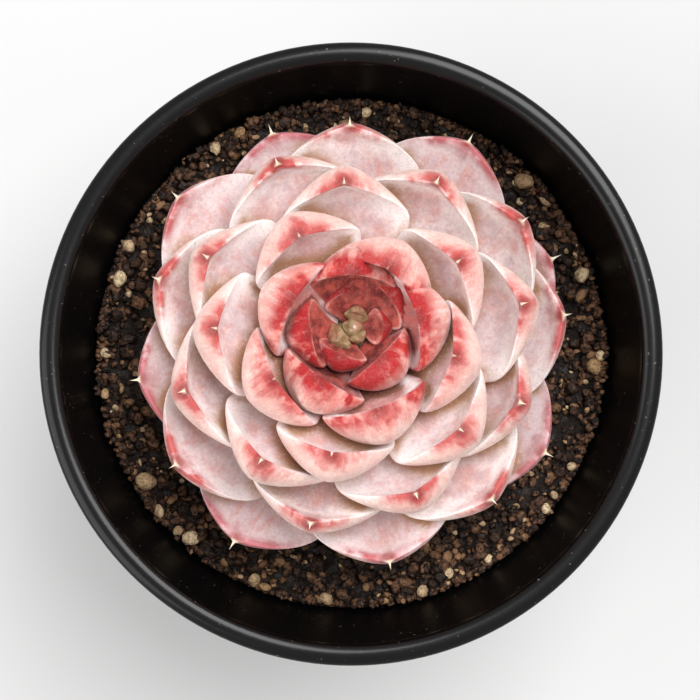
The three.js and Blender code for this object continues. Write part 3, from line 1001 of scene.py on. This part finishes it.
def pot_finish():
    finish = Finish("black plastic", Specular_IOR_Level=0.14, Coat_Roughness=0.2)
    level = finish.add("ShaderNodeSeparateXYZ", None, {"Vector": finish.place()}, output="Z")
    lip = finish.step(level, LIP_FROM * MM, LIP_TO * MM)
    cloud = finish.noise(60, 3.0)
    dust = finish.step(finish.noise(1500, 1.0), 0.74, 0.78)
    skin = finish.mix(dust * 0.35, finish.mix(cloud, BLACK_PLASTIC, PALER_PLASTIC), DUST)
    rough = 0.38 - 0.12 * lip + 0.1 * cloud + dust * 0.3
    scuffs = finish.bump(finish.noise(900, 3.0), 0.04, 0.5)
    return finish.feed(Base_Color=skin, Roughness=rough, Coat_Weight=lip * 0.3, Normal=scuffs)


def slot_cutter():
    """A block for each slot through the pot's floor, in one object."""
    bm = bmesh.new()
    outwards = Matrix.Translation((SLOT_MIDDLE, 0, FLOOR_TOP))
    for i in range(DRAIN_SLOTS):
        turn = Matrix.Rotation((i + 0.5) / DRAIN_SLOTS * 2 * math.pi, 4, "Z")
        place = TO_METRES @ turn @ outwards @ Matrix.Diagonal((*SLOT_SIZE, 1))
        bmesh.ops.create_cube(bm, size=1, matrix=place)
    return in_scene("slots", to_mesh("slots", bm))


def add_pot():
    pot = finished("pot_shell", spun(pot_profile(), POT_SIDES), pot_finish(), "pot_plastic", "pot")
    cutter = slot_cutter()
    cut = pot.modifiers.new("slots", "BOOLEAN")
    cut.operation = "DIFFERENCE"
    cut.object = cutter
    with_slots = pot.evaluated_get(bpy.context.evaluated_depsgraph_get())
    baked = bpy.data.meshes.new_from_object(with_slots)
    pot.modifiers.clear()
    pot.data = baked
    bpy.data.objects.remove(cutter)
    return pot


print("faces in the pot:", len(add_pot().data.polygons))

# %% [markdown]
# ## Potting mix
#
# The mix is dark, moist and crumbly, with pale grains of pumice on it. A displaced surface
# alone looks like a carpet, so three pieces make it: a bed that fills the pot, thousands of
# small crumbs strewn over it, and the grains, the larger of them where the photograph has
# them. Bed and crumbs share one finish. It reads the attribute `tone`, which is 0 all over the
# bed and drawn at random for each crumb: the higher it is, the paler and browner the crumb.
# Where it is nearly 0, on the bed and a few crumbs, the colour is darkened further as painted
# shade in the gaps between the crumbs.

# %% Bed of soil
SOIL_LEVEL = 65
SOIL_EDGE = 47.9
BED_PROFILE = [(0, 2.9), (35.6, 2.9), (37.4, 4.8), (42.6, 35), (SOIL_EDGE - 0.2, SOIL_LEVEL - 1.2)]
BED_SIDES = 150
BED_RINGS = 56
BED_RING_GAP = 0.75
DARK_SOIL = paint(10, 7, 5)
BROWN_SOIL = paint(60, 40, 30)
BARK_BROWN = paint(124, 88, 63)
TAN_CRUMB = paint(172, 132, 96)
PAINTED_GAP_SHADE = paint(8, 6, 5)


def ground(x, y):
    """Height of the bed's top, in millimetres, with low mounds and pits."""
    lump = noise.noise(Vector((x * 0.16, y * 0.16, 3.1)))
    crumb = noise.noise(Vector((x * 0.55, y * 0.55, 8.4)))
    return SOIL_LEVEL - 1.1 + lump * 0.8 + crumb * 1.2


def soil_finish():
    finish = Finish("potting mix", Specular_IOR_Level=0.35)
    tone = finish.attribute("tone")
    mottle = finish.noise(1400, 4.0)
    skin = finish.coated(
        finish.mix(finish.step(mottle, 0.35, 0.65), DARK_SOIL, BROWN_SOIL),
        (finish.step(tone, 0.2, 0.95) * finish.step(mottle, 0.3, 0.6), BARK_BROWN),
        (finish.step(tone, 0.9, 0.97) * 0.5, TAN_CRUMB),
        # painted shade in the gaps: the bed, and the few crumbs of lowest tone, darkened further
        (finish.step(tone, 0.03, 0.0) * 0.6, PAINTED_GAP_SHADE),
    )
    wet = finish.step(finish.noise(420, 2.0), 0.45, 0.6)
    relief = finish.bump(mottle, 0.5)
    return finish.feed(Base_Color=skin, Roughness=0.85 - 0.45 * wet, Normal=relief)


SOIL_SKIN = soil_finish()


def add_bed():
    rings = [SOIL_EDGE - 0.1 - i * BED_RING_GAP for i in range(BED_RINGS)]
    profile = BED_PROFILE + [(r, SOIL_LEVEL) for r in rings] + [(0, SOIL_LEVEL)]
    bm = spun(profile, BED_SIDES)
    for corner in bm.verts:
        x, y, z = (c / MM for c in corner.co)
        if z > SOIL_LEVEL - 0.5:
            corner.co.z = ground(x, y) * MM
    bm.verts.layers.float.new("tone")
    return finished("soil_bed", bm, SOIL_SKIN, "potting_mix", "soil")


print("faces in the bed:", len(add_bed().data.polygons))

# %% [markdown]
# ## Crumbs and grains
#
# Each crumb starts as an icosphere, squeezed and knocked about by noise, with only a few dozen
# faces. They are made a handful at a time in a small bmesh that is then poured into the piece,
# because bmesh operators slow down as their mesh grows. Besides the crumbs strewn all over,
# others are heaped on the pot's wall, more in some directions than in others. All the places
# are drawn from one seeded generator, so that every run strews them alike.

# %% Strewing
HANDFUL = 40
SQUEEZE = ((0.75, 1.25), (0.6, 1.0), (0.5, 0.85))  # least and most, each way
AXIS = ((-1, 1), (-1, 1), (0.2, 1))  # of its turn, the same way
BULGE = 0.45
dice = random.Random(7)


def crumb_into(bm, spot, size, faces_level, tone, layer):
    """A lump of this size lying at a spot."""
    squeeze = Matrix.Diagonal((*[dice.uniform(*span) for span in SQUEEZE], 1))
    angle = dice.uniform(0, 6.28)
    turn = Matrix.Rotation(angle, 4, Vector([dice.uniform(*span) for span in AXIS]))
    place = TO_METRES @ Matrix.Translation(spot) @ turn @ squeeze @ Matrix.Scale(size, 4)
    made = bmesh.ops.create_icosphere(bm, subdivisions=faces_level, radius=1, matrix=place)["verts"]
    middle = Vector(spot) * MM
    seed = Vector([dice.uniform(0, 99) for _ in range(3)])
    for corner in made:
        bulge = 1 + BULGE * noise.noise((corner.co - middle) / (size * MM) * 0.9 + seed)
        corner.co = middle + (corner.co - middle) * bulge
        corner[layer] = tone


def strewn(lumps, faces_level):
    """One bmesh of many lumps, each a spot, a size and a tone."""
    whole = bmesh.new()
    whole.verts.layers.float.new("tone")
    for start in range(0, len(lumps), HANDFUL):
        handful = bmesh.new()
        layer = handful.verts.layers.float.new("tone")
        for spot, size, tone in lumps[start:start + HANDFUL]:
            crumb_into(handful, spot, size, faces_level, tone, layer)
        pour(handful, whole)
    return whole


def somewhere(inner, outer):
    """A random place on the ring between two radii, evenly spread."""
    radius = math.sqrt(dice.uniform(inner**2, outer**2))
    turn = dice.uniform(0, 2 * math.pi)
    return radius * math.cos(turn), radius * math.sin(turn)


print("height of the soil at two places:", round(ground(40, 0), 2), round(ground(0, 40), 2))

# %% Crumbs
WALL_RADIUS = SOIL_EDGE + 0.1  # of the pot's inside, at the soil's level
POT_TAPER = 0.17  # how much wider it is for each millimetre up
BARE_RADIUS = 26  # inside it the leaves hide the soil
CRUMBS = 3900
LARGER_SHARE = 0.3  # of the crumbs
LARGER = 1.8  # how many times larger they are
HEAPED_CRUMBS = 1500


def bank(turn):
    """How high crumbs are heaped on the pot's wall in this direction, in millimetres."""
    place = Vector((4.5 * math.cos(turn), 4.5 * math.sin(turn), 5.7))
    return max(0.2, 1.5 + 3.2 * noise.noise(place))


def loose_crumb():
    """Spot, size and tone of a crumb lying loose on the bed."""
    size = dice.uniform(0.45, 0.9) * (LARGER if dice.random() < LARGER_SHARE else 1)
    x, y = somewhere(BARE_RADIUS, WALL_RADIUS - 1.3 * size)
    return (x, y, ground(x, y) + size * dice.uniform(0.2, 1.3)), size, dice.random()


def heaped_crumb():
    """The same of a crumb heaped on the pot's wall. The higher ones lie nearer to it."""
    size = dice.uniform(0.5, 1.0)
    turn = dice.uniform(0, 2 * math.pi)
    up = dice.random()
    rise = up * bank(turn)
    inwards = (1 - up) * dice.uniform(0, 0.9) * bank(turn)
    radius = WALL_RADIUS + POT_TAPER * rise - 1.25 * size - inwards
    x, y = radius * math.cos(turn), radius * math.sin(turn)
    return (x, y, ground(x, y) + rise + size * 0.3), size, dice.random()


def add_crumbs():
    lumps = [loose_crumb() for _ in range(CRUMBS)]
    lumps += [heaped_crumb() for _ in range(HEAPED_CRUMBS)]
    crumbs = strewn(lumps, faces_level=1)
    return finished("soil_crumbs", crumbs, SOIL_SKIN, "potting_mix", recalculate=False)


print("faces in the crumbs:", len(add_crumbs().data.polygons))

# %% [markdown]
# ## Pale grains
#
# The grains are pumice and grit, tan to cream and dry. They are made as the crumbs are, with
# more faces. The larger ones lie where the photograph has them, and smaller ones anywhere in
# the ring of soil that shows. All of them lie on top of the crumbs, also on those heaped along
# the wall.

# %% Grains
SMALL_GRAINS = 230
SHOWN_FROM = 34  # inner radius of the ring of soil that shows
HEAP_FOOT = 4  # how far in from the soil's edge the heap of crumbs starts
HEAP_RUN = 3  # and over how far it rises
TAN_GRAIN = paint(176, 138, 96)
CREAM_GRAIN = paint(228, 204, 164)
DARK_PIT = paint(96, 66, 42)
GRAINS = [
    # place on the soil, and radius
    (33.6, 33.5, 1.7), (37.4, 29.7, 1.4), (44.7, 15.3, 1.7), (47, -0.4, 1.2), (46.2, -2.2, 1.8),
    (42.9, -21.8, 1.2), (39.9, -27.7, 1.3), (38, -30.2, 1.2), (27.2, -40.2, 1.2), (18.2, -41.2, 1.4),
    (13.3, -44.4, 1.2), (-4.6, -46.2, 1.4), (-16.4, -44.4, 1.2), (-18.5, -43, 1.5),
    (-30.8, -35.4, 1.7), (-32.2, -33.1, 1.2), (-36.6, -29.9, 1.3), (-39.8, -24.8, 2.3),
    (-46.2, -7.5, 1.3), (-46, 0.1, 1.3), (-43.1, 14, 1.6), (-42.2, 20.5, 1.4),
    (-25.6, 38.9, 1.4), (-20.9, 41.4, 1.2), (2.7, 45.2, 1.2), (35.9, 24, 1.3),
]


def grain_finish():
    finish = Finish("pale grains")
    pits = finish.noise(1800, 3.0)
    skin = finish.mix(finish.attribute("tone"), TAN_GRAIN, CREAM_GRAIN)
    skin = finish.mix(finish.step(pits, 0.6, 0.35) * 0.6, skin, DARK_PIT)
    relief = finish.bump(pits, 0.25)
    return finish.feed(Base_Color=skin, Roughness=0.75 + 0.2 * pits, Normal=relief)


def surface(x, y):
    """Height of the loose crumbs' top there, with the heap on the wall."""
    near_wall = max(0.0, min(1.0, (math.hypot(x, y) - SOIL_EDGE + HEAP_FOOT) / HEAP_RUN))
    return ground(x, y) + near_wall * 0.75 * bank(math.atan2(y, x))


def large_grain(x, y, size):
    """Spot, size and tone of a grain, pulled in where it would touch the wall."""
    pull = min(1.0, (WALL_RADIUS - 1.3 * size) / math.hypot(x, y))
    x, y = x * pull, y * pull
    return (x, y, surface(x, y) + size * 0.6), size, dice.random()


def small_grain():
    x, y = somewhere(SHOWN_FROM, SOIL_EDGE - 1.0)
    size = dice.uniform(0.35, 0.8)
    return (x, y, surface(x, y) + size * 0.8), size, dice.random() * 0.7


def add_grains():
    lumps = [large_grain(*grain) for grain in GRAINS]
    lumps += [small_grain() for _ in range(SMALL_GRAINS)]
    grains = strewn(lumps, faces_level=2)
    return finished("soil_grains", grains, grain_finish(), "potting_mix", recalculate=False)


print("faces in the grains:", len(add_grains().data.polygons))

# %% [markdown]
# ## The floor
#
# The pot stands on a plain pale floor, wide enough that no view sees its end.

# %% Floor
FLOOR_REACH = 2.5  # metres from its middle to its sides
FLOOR_WHITE = paint(208, 208, 209)
FLOOR_GREY = paint(203, 203, 203)


def floor_finish():
    finish = Finish("pale floor")
    tone = finish.noise(9, 2.0)
    return finish.feed(Base_Color=finish.mix(tone, FLOOR_WHITE, FLOOR_GREY), Roughness=0.55 + 0.1 * tone)


def add_floor():
    bm = bmesh.new()
    bmesh.ops.create_grid(bm, x_segments=1, y_segments=1, size=FLOOR_REACH)
    floor = in_scene("floor", to_mesh("floor", bm))
    floor.data.materials.append(floor_finish())
    return floor


print("floor:", add_floor().name)
